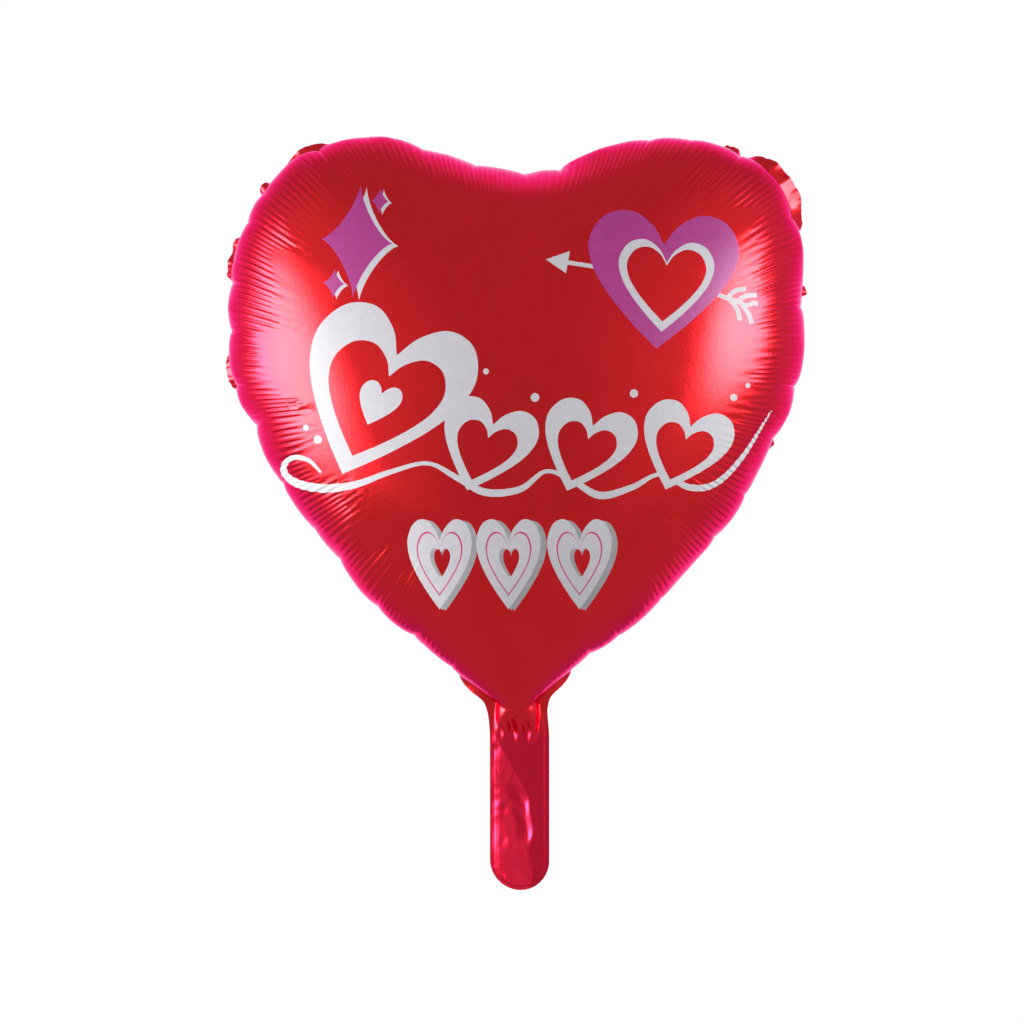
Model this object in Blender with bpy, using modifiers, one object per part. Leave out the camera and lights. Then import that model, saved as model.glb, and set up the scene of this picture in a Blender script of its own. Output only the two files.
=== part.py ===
"""Heart-shaped foil balloon, inflated, with its flat tail folded about the neck.

Metres, +Z up. The front of the balloon faces -Y. The origin is the neck, where the
ribbon is tied: the heart stands above it and the tail hangs below it.

The balloon is two sheets of metallised film heat-sealed round their edge, with a
self-sealing valve of two plain films running up the tail into the heart. Each film is
one sheet on the real balloon; here it is split at the fold line of the neck, because
the tail moves on its own.
"""

import math

import bmesh
import bpy
import numpy as np

NAME = "heart_foil_balloon"

# Driving dimensions, in metres.
FILM = 0.0004          # thickness of the drawn film
VALVE_FILM = 0.0003    # thickness of the drawn valve film
GAP = 0.0003           # running gap between neighbouring sheets
HALF_DEPTH = 0.1005    # from the seam plane to the crown of one side
FLANGE = 0.0060        # heat-sealed margin outside the seam
CENTRE = (0.0, 0.205)  # (x, z) the dome is laid out about
FOLD_Z = -0.0080       # height of the neck's fold line
HEART_BOTTOM = -0.0040 # lower edge of the heart's neck stub
TAIL_TOP = -0.0105     # upper edge of the tail
TAIL_HALF_WIDTH = 0.0196
TAIL_END = -0.1225     # lowest point of the round tail end
TAIL_MARGIN = 0.0030   # sealed margin round the tail
VALVE_HALF_WIDTH = 0.0115
VALVE_TOP = 0.0620
VALVE_BOTTOM = -0.1130
# Seam of the inflated heart, right half, from the neck's corner to the cleft, as (x, z).
SEAM = (
    (0.0170, 0.0030),
    (0.0440, 0.0280),
    (0.0830, 0.0580),
    (0.1190, 0.0950),
    (0.1500, 0.1380),
    (0.1740, 0.1880),
    (0.1850, 0.2430),
    (0.1830, 0.2900),
    (0.1700, 0.3270),
    (0.1450, 0.3530),
    (0.1060, 0.3660),
    (0.0680, 0.3620),
    (0.0310, 0.3500),
    (0.0000, 0.3450),
)
COLUMNS = 15           # cage columns along the seam of one half
RINGS = (0.34, 0.62, 0.82, 0.93, 0.985, 1.0)

# Sheets counted outwards from the mid plane: half gap, valve film, gap, panel.
VALVE_IN = GAP / 2
PANEL_AT_VALVE = GAP / 2 + VALVE_FILM + GAP
PANEL_AT_SEAM = GAP / 2

RED = (0.62, 0.010, 0.018, 1.0)
RED_BACK = (0.50, 0.008, 0.022, 1.0)
CLEAR = (0.80, 0.80, 0.82, 1.0)


def material(name, colour, roughness, metallic):
    m = bpy.data.materials.new(name)
    m.use_nodes = True
    p = m.node_tree.nodes["Principled BSDF"]
    p.inputs["Base Color"].default_value = colour
    p.inputs["Roughness"].default_value = roughness
    p.inputs["Metallic"].default_value = metallic
    m.diffuse_color = colour
    return m


def smooth_curve(points, count):
    """count + 1 points, evenly spaced along a Catmull-Rom curve through points."""
    p = np.array(points, float)
    before = 2 * p[0] - p[1]
    after = p[-2] * (-1, 1)  # the other half, mirrored in x = 0
    q = np.vstack([before, p, after])
    fine = []
    for i in range(1, len(q) - 2):
        for t in np.linspace(0, 1, 24, endpoint=False):
            a, b, c, d = q[i - 1 : i + 3]
            fine.append(
                0.5
                * (
                    2 * b
                    + (c - a) * t
                    + (2 * a - 5 * b + 4 * c - d) * t**2
                    + (3 * b - a - 3 * c + d) * t**3
                )
            )
    fine = np.array(fine + [p[-1]])
    run = np.concatenate([[0], np.cumsum(np.linalg.norm(np.diff(fine, axis=0), axis=1))])
    want = np.linspace(0, run[-1], count + 1)
    return np.stack([np.interp(want, run, fine[:, k]) for k in (0, 1)], 1)


def membrane(points, triangles, fixed):
    """Height of a pressurised membrane over the flat mesh, zero at the fixed points."""
    n = len(points)
    stiffness = np.zeros((n, n))
    load = np.zeros(n)
    for tri in triangles:
        p = points[list(tri)]
        area = 0.5 * abs(np.cross(p[1] - p[0], p[2] - p[0]))
        edge = np.array([p[2] - p[1], p[0] - p[2], p[1] - p[0]])
        stiffness[np.ix_(tri, tri)] += edge @ edge.T / (4 * area)
        load[list(tri)] += area / 3
    free = np.setdiff1d(np.arange(n), fixed)
    height = np.zeros(n)
    height[free] = np.linalg.solve(stiffness[np.ix_(free, free)], load[free])
    return height


def neck_spread(x, z):
    """How far the panel stands off the mid plane, more where the valve passes through."""
    d = math.hypot(max(abs(x) - VALVE_HALF_WIDTH, 0.0), max(z - 0.012, 0.0))
    t = min(max(1 - d / 0.012, 0.0), 1.0)
    return PANEL_AT_SEAM + (PANEL_AT_VALVE + 0.0001 - PANEL_AT_SEAM) * t * t * (3 - 2 * t)


def heart_panel(name, side, mat, collection):
    """One inflated film: a half cage, mirrored, smoothed and given its thickness.

    side is -1 for the front, which bulges to -Y, and +1 for the back."""
    rim = smooth_curve(SEAM, COLUMNS)
    neck = np.array([[x, SEAM[0][1]] for x in (0.0, SEAM[0][0] * 0.55)])
    rim = np.vstack([neck, rim])
    n = len(rim)
    centre = np.array(CENTRE)
    flat = [centre]
    for s in RINGS:
        flat += list(centre + s * (rim - centre))
    flat = np.array(flat)
    flat[np.abs(flat[:, 0]) < 1e-9, 0] = 0.0
    faces, triangles = [], []
    for i in range(n - 1):
        triangles.append((0, 1 + i, 2 + i))
        faces.append((0, 1 + i, 2 + i))
    for r in range(len(RINGS) - 1):
        for i in range(n - 1):
            a, b = 1 + r * n + i, 2 + r * n + i
            c, d = b + n, a + n
            faces.append((a, d, c, b))
            triangles += [(a, d, c), (a, c, b)]
    seam = np.arange(1 + (len(RINGS) - 1) * n, 1 + len(RINGS) * n)
    height = np.sqrt(membrane(flat, triangles, seam))
    height *= HALF_DEPTH / height.max()

    # The sealed margin: the seam moved outwards along its own normal.
    tangent = np.gradient(rim, axis=0)
    tangent[0] = tangent[1] = (1, 0)
    tangent[-1] = (-1, 0)
    normal = np.stack([tangent[:, 1], -tangent[:, 0]], 1)
    normal /= np.linalg.norm(normal, axis=1)[:, None]
    edge = rim + FLANGE * normal
    edge[0] = (0.0, HEART_BOTTOM)
    edge[1] = (rim[1][0], HEART_BOTTOM)
    edge[2] = (TAIL_HALF_WIDTH, HEART_BOTTOM)
    edge[-1][0] = 0.0
    last = len(flat)
    for i in range(n - 1):
        a, b = seam[i], seam[i + 1]
        faces.append((a, last + i, last + i + 1, b))
    flat = np.vstack([flat, edge])
    height = np.concatenate([height, np.zeros(n)])

    bm = bmesh.new()
    verts = [
        bm.verts.new((x, side * (h + neck_spread(x, z)), z))
        for (x, z), h in zip(flat, height)
    ]
    for f in faces:
        bm.faces.new([verts[i] for i in (f if side < 0 else f[::-1])])
    bm.normal_update()
    facing = sum(f.normal.y * f.calc_area() for f in bm.faces)
    if facing * side < 0:
        bmesh.ops.reverse_faces(bm, faces=bm.faces[:])
    mesh = bpy.data.meshes.new(name)
    bm.to_mesh(mesh)
    bm.free()
    mesh.materials.append(mat)
    o = bpy.data.objects.new(name, mesh)
    collection.objects.link(o)
    mirror = o.modifiers.new("mirror", "MIRROR")
    mirror.use_axis = (True, False, False)
    mirror.use_clip = True
    mirror.merge_threshold = 0.0001
    smooth = o.modifiers.new("smooth", "SUBSURF")
    smooth.levels = smooth.render_levels = 1
    film = o.modifiers.new("film", "SOLIDIFY")
    film.thickness = FILM
    film.offset = 1.0
    mesh.shade_smooth()
    return o


def tail_outline(top):
    """Tail outline as (x, z): straight sides and a round end."""
    centre_z = TAIL_END + TAIL_HALF_WIDTH
    arc = [
        (
            -TAIL_HALF_WIDTH * math.cos(math.pi * k / 20),
            centre_z - TAIL_HALF_WIDTH * math.sin(math.pi * k / 20),
        )
        for k in range(21)
    ]
    return [(-TAIL_HALF_WIDTH, top)] + arc + [(TAIL_HALF_WIDTH, top)]


def tail_panel(name, side, mat, parent, collection):
    """One film of the tail: a shallow tray, sealed at its margin and open at the fold."""
    slope = 0.0015
    bm = bmesh.new()
    verts = [
        bm.verts.new((x, side * PANEL_AT_SEAM, z))
        for x, z in tail_outline(TAIL_TOP + TAIL_MARGIN + 2 * slope)
    ]
    face = bm.faces.new(verts)
    bm.normal_update()
    if face.normal.y * side < 0:
        bmesh.ops.reverse_faces(bm, faces=[face])
    bmesh.ops.inset_region(
        bm, faces=[face], thickness=TAIL_MARGIN, use_boundary=True, use_even_offset=True
    )
    bmesh.ops.inset_region(
        bm, faces=[face], thickness=slope, use_boundary=True, use_even_offset=True
    )
    for v in max(bm.faces, key=lambda f: len(f.verts)).verts:
        v.co.y = side * PANEL_AT_VALVE  # the middle stands off, over the valve
    bmesh.ops.bisect_plane(
        bm,
        geom=bm.verts[:] + bm.edges[:] + bm.faces[:],
        plane_co=(0, 0, TAIL_TOP),
        plane_no=(0, 0, 1),
        clear_outer=True,
    )
    for v in bm.verts:
        v.co.z -= FOLD_Z
    mesh = bpy.data.meshes.new(name)
    bm.to_mesh(mesh)
    bm.free()
    mesh.materials.append(mat)
    o = bpy.data.objects.new(name, mesh)
    o.parent = parent
    collection.objects.link(o)
    film = o.modifiers.new("film", "SOLIDIFY")
    film.thickness = FILM
    film.offset = 1.0
    film.use_even_offset = True
    return o


def valve_film(name, side, low, high, mat, collection, parent=None):
    """A flat strip of valve film between the panels, its far corners rounded."""
    up = high > 0
    r = 0.005
    near, far = (low, high) if up else (high, low)
    step = 1 if up else -1
    w = VALVE_HALF_WIDTH
    arc = [
        (w - r + r * math.cos(math.pi / 2 * k / 4), far - step * (r - r * math.sin(math.pi / 2 * k / 4)))
        for k in range(5)
    ]
    outline = [(w, near)] + arc + [(-x, z) for x, z in reversed(arc)] + [(-w, near)]
    curve = bpy.data.curves.new(name, "CURVE")
    curve.dimensions = "2D"
    curve.fill_mode = "BOTH"
    curve.extrude = VALVE_FILM / 2
    spline = curve.splines.new("POLY")
    spline.points.add(len(outline) - 1)
    z0 = FOLD_Z if parent else 0.0
    for p, (x, z) in zip(spline.points, outline):
        p.co = (x, z - z0, 0, 1)
    spline.use_cyclic_u = True
    curve.materials.append(mat)
    o = bpy.data.objects.new(name, curve)
    o.rotation_euler = (math.pi / 2, 0, 0)  # the drawing plane stands up, facing -Y
    o.location = (0, side * (VALVE_IN + VALVE_FILM / 2), 0)
    o.parent = parent
    collection.objects.link(o)
    return o


def main():
    for o in list(bpy.data.objects):
        bpy.data.objects.remove(o, do_unlink=True)
    collection = bpy.data.collections.new(NAME)
    bpy.context.scene.collection.children.link(collection)

    red = material("front_foil", RED, 0.30, 1.0)
    red_back = material("back_foil", RED_BACK, 0.30, 1.0)
    tail_red = material("tail_front_foil", RED, 0.32, 1.0)
    tail_back_red = material("tail_back_foil", RED_BACK, 0.32, 1.0)
    clear_front = material("valve_front_film", CLEAR, 0.45, 0.0)
    clear_back = material("valve_back_film", CLEAR, 0.45, 0.0)

    fold = bpy.data.objects.new("tail_fold_axis", None)
    fold.empty_display_size = 0.03
    fold.location = (0, 0, FOLD_Z)
    collection.objects.link(fold)

    heart_panel("heart_front", -1, red, collection)
    heart_panel("heart_back", 1, red_back, collection)
    tail_panel("tail_front", -1, tail_red, fold, collection)
    tail_panel("tail_back", 1, tail_back_red, fold, collection)
    valve_film("valve_upper_front", -1, HEART_BOTTOM, VALVE_TOP, clear_front, collection)
    valve_film("valve_upper_back", 1, HEART_BOTTOM, VALVE_TOP, clear_back, collection)
    valve_film("valve_lower_front", -1, VALVE_BOTTOM, TAIL_TOP, clear_front, collection, fold)
    valve_film("valve_lower_back", 1, VALVE_BOTTOM, TAIL_TOP, clear_back, collection, fold)
    bpy.context.view_layer.update()


main()
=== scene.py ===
"""Looks of the heart-shaped foil balloon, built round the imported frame.

Two sheets of metallised film sealed round their edge. Each sheet is one mesh, from the
lobes down to the end of the tail. Its form is that of an inflated membrane over the
heart's outline; the film can't stretch, so it draws in round the seam with pleats and
fine radial wrinkles, and the sealed margin turns back behind the bulging rim. The print
is cut into the front sheet's own faces.
"""
import math

import bpy
import numpy as np
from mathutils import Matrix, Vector
from mathutils.geometry import delaunay_2d_cdt


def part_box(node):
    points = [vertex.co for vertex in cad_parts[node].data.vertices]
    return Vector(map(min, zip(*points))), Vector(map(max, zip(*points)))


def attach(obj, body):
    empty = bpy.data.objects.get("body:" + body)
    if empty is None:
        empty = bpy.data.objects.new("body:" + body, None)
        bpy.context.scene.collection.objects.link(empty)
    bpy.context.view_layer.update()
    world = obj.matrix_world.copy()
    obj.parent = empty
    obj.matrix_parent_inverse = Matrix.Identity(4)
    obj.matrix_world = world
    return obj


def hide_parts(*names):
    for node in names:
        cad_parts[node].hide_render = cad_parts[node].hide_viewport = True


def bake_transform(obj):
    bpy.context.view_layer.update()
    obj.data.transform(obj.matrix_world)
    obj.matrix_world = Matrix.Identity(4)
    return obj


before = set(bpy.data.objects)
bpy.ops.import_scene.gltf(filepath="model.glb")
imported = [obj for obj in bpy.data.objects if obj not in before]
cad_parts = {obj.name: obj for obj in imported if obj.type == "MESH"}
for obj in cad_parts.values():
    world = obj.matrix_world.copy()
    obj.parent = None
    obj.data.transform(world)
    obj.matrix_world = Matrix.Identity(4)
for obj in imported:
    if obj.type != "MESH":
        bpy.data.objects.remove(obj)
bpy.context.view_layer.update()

# ---------------------------------------------------------------- dimensions
U = 0.00066                     # drawing unit, metres
CENTRE = np.array([0.0, 0.205]) # pole of the polar layout, (x, z)
HALF_DEPTH = 0.0985
BULGE = 0.0026                  # how far the film stands out beyond the seam
MARGIN = 0.0068                 # sealed margin outside the seam
TAIL_HALF = 0.0165              # tail, between its seams
TAIL_MARGIN = 0.0031
TAIL_END = -0.1228
COLUMNS = 1880


def at(a, b):
    """Drawing coordinates (across, down) to metres on the balloon's plan, (x, z)."""
    return np.stack([(np.asarray(a, float) - 517.5) * U, (705.0 - np.asarray(b, float)) * U], -1)


# Silhouette of the heart in drawing units, anticlockwise from the neck's right corner.
SILHOUETTE = [
    (537, 703), (546, 693), (563, 679), (588, 657), (617, 640), (644, 620), (667, 598),
    (694, 566), (716, 540), (733, 519), (746, 500), (764, 459), (783, 424), (795, 396),
    (804, 362), (806, 325), (803, 288), (803, 252), (795, 214), (776, 180), (749, 157),
    (712, 143), (676, 137), (640, 139), (606, 149), (575, 162), (548, 171), (520, 172),
    (490, 166), (458, 158), (425, 148), (396, 138), (366, 137), (334, 143), (304, 153),
    (275, 177), (252, 206), (238, 240), (229, 280), (228, 320), (229, 355), (236, 393),
    (251, 421), (265, 457), (283, 490), (306, 524), (333, 556), (363, 596), (395, 625),
    (426, 648), (456, 674), (480, 692), (494, 702), (501, 708), (515, 711), (529, 708),
]
# Where the seam is pinched: drawing position and strength.
PLEATS = [
    (319, 155, 1.0), (393, 139, 0.35), (422, 150, 0.8), (478, 164, 1.0), (523, 172, 0.9),
    (558, 169, 1.0), (651, 139, 0.8), (690, 139, 0.4), (741, 154, 0.9), (798, 216, 0.9),
    (804, 307, 1.0), (798, 388, 0.8), (774, 441, 0.7), (748, 498, 0.8), (716, 540, 0.6),
    (664, 602, 0.7), (620, 638, 0.6), (590, 656, 0.5), (262, 190, 0.6), (243, 222, 0.8),
    (230, 284, 1.0), (229, 332, 1.0), (233, 385, 0.8), (254, 428, 0.9), (281, 487, 0.8),
    (312, 532, 0.6), (338, 563, 0.9), (377, 609, 0.6), (412, 637, 0.9), (450, 669, 0.5),
]


def smooth01(x):
    x = np.clip(x, 0.0, 1.0)
    return x * x * (3 - 2 * x)


def closed_curve(points, count, blur):
    """count points, evenly spaced on a smooth closed curve through points, lightly blurred."""
    p = np.array(points, float)
    n = len(p)
    t = np.linspace(0, 1, 40, endpoint=False)[:, None]
    out = []
    for i in range(n):
        a, b, c, d = p[i - 1], p[i], p[(i + 1) % n], p[(i + 2) % n]
        out.append(0.5 * (2 * b + (c - a) * t + (2 * a - 5 * b + 4 * c - d) * t**2 + (3 * b - a - 3 * c + d) * t**3))
    out = np.vstack(out)
    for _ in range(2):
        q = np.vstack([out, out[:1]])
        run = np.concatenate([[0], np.cumsum(np.linalg.norm(np.diff(q, axis=0), axis=1))])
        want = np.linspace(0, run[-1], 2400, endpoint=False)
        out = np.stack([np.interp(want, run, q[:, k]) for k in (0, 1)], 1)
    f = np.fft.fft(out[:, 0] + 1j * out[:, 1])
    k = np.fft.fftfreq(2400) * 2400
    f *= np.exp(-0.5 * (k * 2 * math.pi / run[-1] * blur) ** 2)
    z = np.fft.ifft(f)
    out = np.stack([z.real, z.imag], 1)
    q = np.vstack([out, out[:1]])
    run = np.concatenate([[0], np.cumsum(np.linalg.norm(np.diff(q, axis=0), axis=1))])
    want = np.linspace(0, run[-1], count, endpoint=False)
    return np.stack([np.interp(want, run, q[:, k]) for k in (0, 1)], 1)


def outward(curve):
    """Unit outward normals of an anticlockwise closed curve."""
    t = np.roll(curve, -1, 0) - np.roll(curve, 1, 0)
    n = np.stack([t[:, 1], -t[:, 0]], 1)
    return n / np.linalg.norm(n, axis=1)[:, None]


# ---------------------------------------------------------------- the seam, in plan
_sil = closed_curve([at(a, b) for a, b in SILHOUETTE], 2400, 0.0045)
_near_neck = smooth01((np.hypot(_sil[:, 0], _sil[:, 1]) - 0.012) / 0.035)
SEAM = _sil - outward(_sil) * (BULGE * 0.95 * _near_neck)[:, None]
SEAM_N = outward(SEAM)
_q = np.vstack([SEAM, SEAM[:1]])
SEAM_RUN = np.concatenate([[0], np.cumsum(np.linalg.norm(np.diff(_q, axis=0), axis=1))])
SEAM_LEN = SEAM_RUN[-1]
_rel = SEAM - CENTRE
_ang = np.unwrap(np.arctan2(_rel[:, 1], _rel[:, 0]))
# Angle about the pole runs up with the index; tables for angle -> radius, run, normal.
ANG = np.concatenate([_ang - 2 * math.pi, _ang, _ang + 2 * math.pi])
RAD = np.tile(np.linalg.norm(_rel, axis=1), 3)
RUN3 = np.concatenate([SEAM_RUN[:-1] - SEAM_LEN, SEAM_RUN[:-1], SEAM_RUN[:-1] + SEAM_LEN])
NX3, NZ3 = np.tile(SEAM_N[:, 0], 3), np.tile(SEAM_N[:, 1], 3)
assert np.all(np.diff(_ang) > 0), "the outline isn't star-shaped about the pole"

# How much each ray leans along the seam, smoothed; wrinkles run nearly square to the seam.
_lean = (SEAM_N[:, 0] * _rel[:, 1] - SEAM_N[:, 1] * _rel[:, 0]) / np.linalg.norm(_rel, axis=1)
_k = np.fft.fftfreq(len(_lean)) * len(_lean)
_lean = np.fft.ifft(np.fft.fft(_lean) * np.exp(-0.5 * (_k * 2 * math.pi / SEAM_LEN * 0.018) ** 2)).real
LEAN3 = np.tile(np.clip(_lean, -0.55, 0.55), 3)

# ---------------------------------------------------------------- membrane over the outline
_src = closed_curve(SEAM, 180, 0.0)
_src = _src + outward(_src) * 0.020
_bnd = SEAM[::4]
_d = np.linalg.norm(_bnd[:, None] - _src[None], axis=2)
_a = np.hstack([np.log(_d), np.ones((len(_bnd), 1))])
_w = np.linalg.lstsq(_a, (_bnd**2).sum(1) / 4, rcond=1e-11)[0]


def membrane(p):
    """Value and gradient of the pressurised membrane's height function at plan points."""
    val = np.empty(len(p))
    grad = np.empty((len(p), 2))
    for i in range(0, len(p), 20000):
        b = p[i : i + 20000]
        v = b[:, None] - _src[None]
        r2 = (v**2).sum(2)
        val[i : i + 20000] = -(b**2).sum(1) / 4 + 0.5 * np.log(r2) @ _w[:-1] + _w[-1]
        grad[i : i + 20000] = -b / 2 + np.einsum("ijk,j->ik", v / r2[:, :, None], _w[:-1])
    return np.maximum(val, 0.0), grad


_probe = CENTRE + np.stack(np.meshgrid(np.linspace(-0.05, 0.05, 21), np.linspace(-0.05, 0.08, 21)), -1).reshape(-1, 2)
K2 = HALF_DEPTH**2 / membrane(_probe)[0].max()

# Film distance from the seam along each ray to the pole, tabulated.
TH = np.linspace(-math.pi / 2 - math.pi, -math.pi / 2 + math.pi, 721)
SG = 1 - np.linspace(0, 1, 161) ** 2.2
_r = np.interp(TH, ANG, RAD)
_pts = CENTRE + (SG[None, :, None] * _r[:, None, None]) * np.stack([np.cos(TH), np.sin(TH)], 1)[:, None, :]
_h = np.sqrt(K2 * membrane(_pts.reshape(-1, 2))[0]).reshape(len(TH), len(SG))
_h[:, 0] = 0
_step = np.sqrt((np.diff(_pts, axis=1) ** 2).sum(2) + np.diff(_h, axis=1) ** 2)
WT = np.concatenate([np.zeros((len(TH), 1)), np.cumsum(_step, axis=1)], 1)   # film distance at each SG
LT = WT[:, -1]                                                               # seam to pole


def wrap(theta):
    return (theta + 1.5 * math.pi) % (2 * math.pi) - 1.5 * math.pi


def ray_length(theta):
    return np.interp(wrap(theta), TH, LT)


def share(theta, w):
    """The share s of the way out from the pole that a film distance w from the seam stands for."""
    th = wrap(theta)
    f = (th - TH[0]) / (TH[1] - TH[0])
    i = np.clip(np.floor(f).astype(int), 0, len(TH) - 2)
    f = f - i
    out = np.zeros(len(th))
    for j, part in ((i, 1 - f), (i + 1, f)):
        # walk each table row with one vectorised search on a common scale
        u = np.clip(w / LT[j], 0, 1)
        out += part * _row_interp(j, u)
    return out


_UN = 400
_ug = np.linspace(0, 1, _UN + 1) ** 2
_ST = np.stack([np.interp(_ug * LT[j], WT[j], np.linspace(0, 1, 161)) for j in range(len(TH))])  # SG's own parameter


def _row_interp(j, u):
    g = np.sqrt(u) * _UN
    a = np.clip(np.floor(g).astype(int), 0, _UN - 1)
    g = g - a
    # cubic through four neighbours keeps the surface free of facets
    i0, i1, i2, i3 = np.clip(a - 1, 0, _UN), a, a + 1, np.clip(a + 2, 0, _UN)
    p0, p1, p2, p3 = _ST[j, i0], _ST[j, i1], _ST[j, i2], _ST[j, i3]
    v = 0.5 * (2 * p1 + (p2 - p0) * g + (2 * p0 - 5 * p1 + 4 * p2 - p3) * g**2 + (3 * p1 - p0 - 3 * p2 + p3) * g**3)
    return 1 - np.clip(v, 0, 1) ** 2.2


# ---------------------------------------------------------------- noise along the seam
def ring_noise(seed, lengths, amps):
    """A smooth periodic function of the run along the seam, from a few harmonics per length."""
    rng = np.random.default_rng(seed)
    terms = []
    for length, amp in zip(lengths, amps):
        k0 = SEAM_LEN / length
        for _ in range(5):
            k = max(1, round(k0 * rng.uniform(0.7, 1.35)))
            terms.append((k, rng.uniform(0, 2 * math.pi), amp / math.sqrt(5) * 1.4))

    def f(run):
        x = np.asarray(run) * (2 * math.pi / SEAM_LEN)
        return sum(a * np.sin(k * x + p) for k, p, a in terms)

    return f


def seam_run_at(a, b):
    p = at(a, b)
    return SEAM_RUN[int(np.argmin(np.linalg.norm(SEAM - p, axis=1)))]


class Side:
    """How one sheet puckers round its seam."""

    def __init__(self, side, seed, bulge, wrinkle):
        self.side, self.bulge, self.wrinkle = side, bulge, wrinkle
        rng = np.random.default_rng(seed)
        self.pleats = []
        for a, b, g in PLEATS:
            run = seam_run_at(a, b)
            self.pleats.append((run, g * rng.uniform(0.85, 1.15), rng.uniform(0.0035, 0.0055), 0.014 + 0.020 * g * rng.uniform(0.6, 1.3), rng.uniform(-0.12, 0.12)))
        self.level = ring_noise(seed + 1, (0.30, 0.12), (0.18, 0.15))
        self.warp = ring_noise(seed + 2, (0.11, 0.045, 0.022), (0.0016, 0.0007, 0.00022))
        self.warp2 = ring_noise(seed + 3, (0.10, 0.05), (0.005, 0.0025))
        self.reach = ring_noise(seed + 4, (0.09, 0.030), (0.007, 0.004))
        self.strength = ring_noise(seed + 5, (0.12, 0.035, 0.011), (0.10, 0.12, 0.08))
        self.dents = [
            (rng.uniform(-0.15, 0.15), rng.uniform(0.06, 0.33), rng.uniform(0.03, 0.06), rng.uniform(-1, 1) * 0.0005)
            for _ in range(14)
        ]

    def pucker(self, run, w, x, z, lean, inset):
        """Distance that the film stands off the smooth membrane, along its normal."""
        neck = smooth01((np.hypot(x, z - 0.0) - 0.016) / 0.040)
        # Bulge beyond the seam, pinched in at each pleat.
        pinch = np.zeros_like(run)
        crease = np.zeros_like(run)
        for p, g, c, reach, lean in self.pleats:
            d = (run - p - lean * w + SEAM_LEN / 2) % SEAM_LEN - SEAM_LEN / 2
            width = c * (1 + w / 0.012)
            e = np.sqrt(d * d + 0.0005**2) / width
            pinch = np.maximum(pinch, g * np.exp(-e) * np.exp(-((w / reach) ** 2) * 0.6))
            crease += g * np.exp(-((d / (0.0009 + 0.012 * w)) ** 2)) * np.exp(-((w / (reach * 1.15)) ** 4)) * smooth01(w / 0.003)
        rise = (w / 0.0085) * np.exp(1 - w / 0.0085)
        rise = np.where(w < 0.0085, rise, np.exp(-(((w - 0.0085) / 0.020) ** 2)))
        out = self.bulge * (1.0 + self.level(run)) * rise * (1 - 1.05 * pinch)
        out -= 0.00030 * crease
        # Fine wrinkles square to the seam.
        lam = 0.0042
        slid = run - 0.75 * lean * inset
        a = (slid + self.warp(run)) * (2 * math.pi / lam)
        b = (slid + self.warp2(run)) * (2 * math.pi / (lam * 1.93)) + 1.0
        far = 0.059 + self.reach(run)
        env = (0.34 * smooth01((w - 0.0030) / 0.008) + 0.66 * smooth01((w - 0.010) / 0.012)) * (1 - smooth01((w - far + 0.014) / 0.025))
        env2 = smooth01((w - 0.016) / 0.020) * (1 - smooth01((w - far - 0.002) / 0.024))
        wave = np.sin(a) + 0.22 * np.sin(2 * a + 0.8)
        place = (0.22 + 0.78 * smooth01((z - 0.060) / 0.095)) * (1 - 0.50 * smooth01((z - 0.285) / 0.050))
        strength = np.clip(0.86 + self.strength(run), 0.30, 1.3) * place
        out += self.wrinkle * strength * (0.00036 * env * wave + 0.00010 * env2 * np.sin(b))
        out *= neck
        # Broad, very shallow unevenness.
        for dx, dz, r, amp in self.dents:
            out += amp * np.exp(-((x - dx) ** 2 + (z - dz) ** 2) / (r * r)) * smooth01(w / 0.03)
        return out


SEAM_WAVE = ring_noise(71, (0.16, 0.055, 0.028), (0.0012, 0.0010, 0.0006))


def neck_depth(x, z, side):
    """Depth of the channel that runs from the heart down into the tail, ending in three soft fingers."""
    half = 0.0142 + 0.0021 * smooth01(-z / 0.012)
    u = np.clip(1 - (x / half) ** 2, 0, 1)
    across = x * side + 0.0009 * np.sin(z * 330 + 0.8) + 0.0006
    finger = 0.5 + 0.5 * np.cos(across * (2 * math.pi / 0.0092))
    down = 1 - smooth01((-z - 0.001) / (0.0205 + 0.0065 * finger + 0.0018 * np.sin(x * 240)))
    up = 1 - smooth01((z - 0.008) / 0.030)
    valley = 0.30 * (1 - finger) * smooth01((-z - 0.004) / 0.012)
    return (0.0009 + 0.0128 * down * (1 - valley)) * up * np.sqrt(u) * smooth01(1 - (np.abs(x) - 0.0120) / 0.0035)


def with_neck(depth, x, z, side):
    c = neck_depth(x, z, side)
    return (np.maximum(depth, 0) ** 3 + c**3) ** (1 / 3) + np.minimum(depth, 0)


def heart_point(theta, w, sheet):
    """Point of a sheet at angle theta about the pole and film distance w from the seam."""
    s = share(theta, w)
    r = np.interp(wrap(theta), ANG, RAD)
    ray = np.stack([np.cos(theta), np.sin(theta)], 1)
    p = CENTRE + (s * r)[:, None] * ray
    val, grad = membrane(p)
    h = np.sqrt(K2 * val)
    h = np.where(w <= 0, 0.0, h)
    n = np.stack([-K2 * grad[:, 0], sheet.side * 2 * h, -K2 * grad[:, 1]], 1)
    n /= np.linalg.norm(n, axis=1)[:, None]
    run = np.interp(wrap(theta), ANG, RUN3)
    out = np.stack([p[:, 0], sheet.side * h, p[:, 1]], 1)
    out += n * sheet.pucker(run, w, p[:, 0], p[:, 1], np.interp(wrap(theta), ANG, LEAN3), r * (1 - s))[:, None]
    wave = SEAM_WAVE(run) * smooth01((np.hypot(p[:, 0], p[:, 1]) - 0.02) / 0.04)
    out[:, 1] += wave * np.exp(-((w / 0.014) ** 2))
    near = np.hypot(out[:, 0], out[:, 2]) < 0.05
    if near.any():
        d = out[near, 1] * sheet.side
        out[near, 1] = sheet.side * with_neck(d, out[near, 0], out[near, 2], sheet.side)
    return out


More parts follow.
